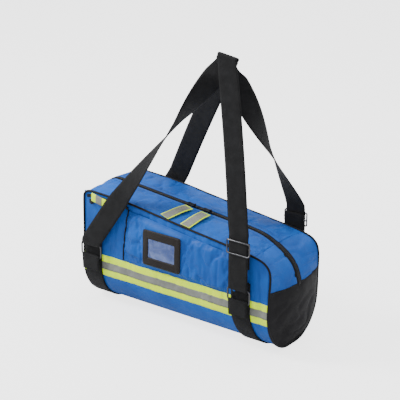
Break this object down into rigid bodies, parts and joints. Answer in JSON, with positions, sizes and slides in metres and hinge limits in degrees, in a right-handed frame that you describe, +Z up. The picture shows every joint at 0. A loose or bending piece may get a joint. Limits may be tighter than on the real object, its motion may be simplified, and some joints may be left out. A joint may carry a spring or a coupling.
{
  "type": "oxygen cylinder in carry bag",
  "caption": "Padded tube-shaped carry bag with a zipped top, long shoulder straps and a card window, holding a strapped-in oxygen cylinder with valve and regulator.",
  "frame": {"origin": "on the floor, under the middle of the bag", "axes": "+X along the bag towards its rounded end, -Y is the front with the pocket, +Z up"},
  "size_m": [0.5504, 0.2284, 0.6216],
  "materials": {
    "blue_fabric": "coated woven polyester, slight sheen",
    "black_fabric": "reinforced black end fabric",
    "webbing": "ribbed polyester webbing",
    "piping": "tape bound cord",
    "hivis": "fluorescent yellow tape",
    "reflective": "glass bead retroreflective tape",
    "zip_tape": "woven zip tape",
    "zip_coil": "moulded coil",
    "zip_metal": "black plated die casting",
    "ring_metal": "gunmetal plated wire",
    "buckle_plastic": "moulded acetal",
    "film": "clear flexible film",
    "frame_tape": "binding tape",
    "card": "blank card",
    "foam": "closed cell foam under lining cloth",
    "board": "corrugated base board",
    "cylinder_paint": "gloss white paint",
    "brass": "machined, plated",
    "yoke_metal": "anodised",
    "rubber": "matt",
    "knob_plastic": "moulded",
    "wheel_plastic": "moulded",
    "gauge_chrome": "polished",
    "dial": "printed scale without words",
    "needle": "matt red",
    "lens": "clear"
  },
  "bodies": {
    "bag": {"body_shell": "blue_fabric", "left_end_cap": "black_fabric", "right_end_cap": "black_fabric", "left_end_panel": "blue_fabric", "right_end_panel": "blue_fabric", "left_end_piping": "piping", "right_end_piping": "piping", "front_edge_piping": "piping", "back_edge_piping": "piping", "foam_liner": "foam", "base_board": "board", "hivis_bands": "hivis", "reflective_strips": "reflective", "front_pocket": "blue_fabric", "pocket_binding": "piping", "window_frame": "frame_tape", "card_window": "film", "pocket_zip": "zip_tape", "end_zip_tape": "zip_tape", "end_zip_coil": "zip_coil", "left_body_webbing": "webbing", "right_body_webbing": "webbing", "restraint_straps": "webbing", "cradle_pads": "foam", "cylinder_shell": "cylinder_paint", "valve_body": "brass", "yoke_seal": "rubber", "regulator_body": "yoke_metal", "regulator_yoke": "yoke_metal", "gauge_case": "gauge_chrome", "gauge_dial": "dial", "gauge_lens": "lens"},
    "front_lid": {"front_lid": "blue_fabric", "front_zip_tape": "zip_tape", "front_zip_coil": "zip_coil"},
    "back_lid": {"back_lid": "blue_fabric", "back_zip_tape": "zip_tape", "back_zip_coil": "zip_coil"},
    "left_slider": {"left_zip_slider": "zip_metal"},
    "left_tab": {"left_pull_tab": "zip_metal"},
    "left_tape": {"left_puller_tape": "hivis"},
    "right_slider": {"right_zip_slider": "zip_metal"},
    "right_tab": {"right_pull_tab": "zip_metal"},
    "right_tape": {"right_puller_tape": "hivis"},
    "pocket_slider": {"pocket_zip_slider": "zip_metal"},
    "pocket_loop": {"pocket_puller_loop": "hivis"},
    "card": {"window_card": "card"},
    "front_rings": {"front_rings": "ring_metal"},
    "back_rings": {"back_rings": "ring_metal"},
    "front_strap": {"front_strap": "webbing"},
    "back_strap": {"back_strap": "webbing"},
    "front_adjuster": {"front_strap_adjuster": "buckle_plastic", "front_strap_tail": "webbing"},
    "back_adjuster": {"back_strap_adjuster": "buckle_plastic", "back_strap_tail": "webbing"},
    "handwheel": {"valve_handwheel": "wheel_plastic"},
    "knob": {"flow_knob": "knob_plastic"},
    "needle": {"gauge_needle": "needle"},
    "screw": {"yoke_screw": "ring_metal"}
  },
  "joints": [
    {"name": "front_lid_fold", "type": "hinge", "parent": "bag", "child": "front_lid", "pos_m": [0, -0.086, 0.25233], "axis": [0.996, 0, -0.0889], "range_deg": [0, 60]},
    {"name": "back_lid_fold", "type": "hinge", "parent": "bag", "child": "back_lid", "pos_m": [0, 0.086, 0.25233], "axis": [-0.996, 0, 0.0889], "range_deg": [0, 60]},
    {"name": "left_slider_run", "type": "slide", "parent": "front_lid", "child": "left_slider", "axis": [-0.996, 0, 0.0889], "range_m": [0, 0.185]},
    {"name": "left_tab_lift", "type": "hinge", "parent": "left_slider", "child": "left_tab", "pos_m": [-0.00743, -0.0035, 0.26909], "axis": [0, 1, 0], "range_deg": [0, 90]},
    {"name": "left_tape_swivel", "type": "hinge", "parent": "left_tab", "child": "left_tape", "pos_m": [-0.02237, -0.0042, 0.27042], "axis": [-0.0889, 0, -0.996], "range_deg": [0, 30]},
    {"name": "right_slider_run", "type": "slide", "parent": "front_lid", "child": "right_slider", "axis": [0.996, 0, -0.0889], "range_m": [0, 0.095]},
    {"name": "right_tab_lift", "type": "hinge", "parent": "right_slider", "child": "right_tab", "pos_m": [0.03657, -0.0035, 0.26516], "axis": [0, 1, 0], "range_deg": [0, 90]},
    {"name": "right_tape_swivel", "type": "hinge", "parent": "right_tab", "child": "right_tape", "pos_m": [0.02163, -0.0042, 0.26649], "axis": [-0.0889, 0, -0.996], "range_deg": [0, 30]},
    {"name": "pocket_slider_run", "type": "slide", "parent": "bag", "child": "pocket_slider", "axis": [1, 0, 0], "range_m": [0, 0.07]},
    {"name": "pocket_loop_lift", "type": "hinge", "parent": "pocket_slider", "child": "pocket_loop", "pos_m": [-0.232, -0.09993, 0.252], "axis": [0, 0, -1], "range_deg": [0, 8]},
    {"name": "card_slide", "type": "slide", "parent": "bag", "child": "card", "axis": [0, 0.0323, 0.9995], "range_m": [0, 0.05]},
    {"name": "front_ring_swing", "type": "hinge", "parent": "bag", "child": "front_rings", "pos_m": [0, -0.107, 0.122], "axis": [1, 0, 0], "range_deg": [0, 90]},
    {"name": "front_strap_swing", "type": "hinge", "parent": "front_rings", "child": "front_strap", "pos_m": [0, -0.107, 0.152], "axis": [1, 0, 0], "range_deg": [0, 80]},
    {"name": "front_adjuster_slide", "type": "slide", "parent": "front_strap", "child": "front_adjuster", "axis": [0, 0, -1], "range_m": [0, 0.022]},
    {"name": "back_ring_swing", "type": "hinge", "parent": "bag", "child": "back_rings", "pos_m": [0, 0.107, 0.122], "axis": [-1, 0, 0], "range_deg": [0, 90]},
    {"name": "back_strap_swing", "type": "hinge", "parent": "back_rings", "child": "back_strap", "pos_m": [0, 0.107, 0.152], "axis": [-1, 0, 0], "range_deg": [0, 80]},
    {"name": "back_adjuster_slide", "type": "slide", "parent": "back_strap", "child": "back_adjuster", "axis": [0, 0, -1], "range_m": [0, 0.022]},
    {"name": "handwheel_turn", "type": "hinge", "parent": "bag", "child": "handwheel", "pos_m": [-0.2, 0, 0.076], "axis": [1, 0, 0], "continuous": true},
    {"name": "flow_knob_turn", "type": "hinge", "parent": "bag", "child": "knob", "pos_m": [-0.167, 0, 0.17], "axis": [0, 0, 1], "range_deg": [0, 300]},
    {"name": "needle_sweep", "type": "hinge", "parent": "bag", "child": "needle", "pos_m": [-0.122, 0, 0.15], "axis": [0, 1, 0], "range_deg": [0, 260]},
    {"name": "yoke_screw_turn", "type": "hinge", "parent": "bag", "child": "screw", "pos_m": [-0.167, 0, 0.04], "axis": [0, 0, 1], "range_deg": [0, 360]}
  ]
}
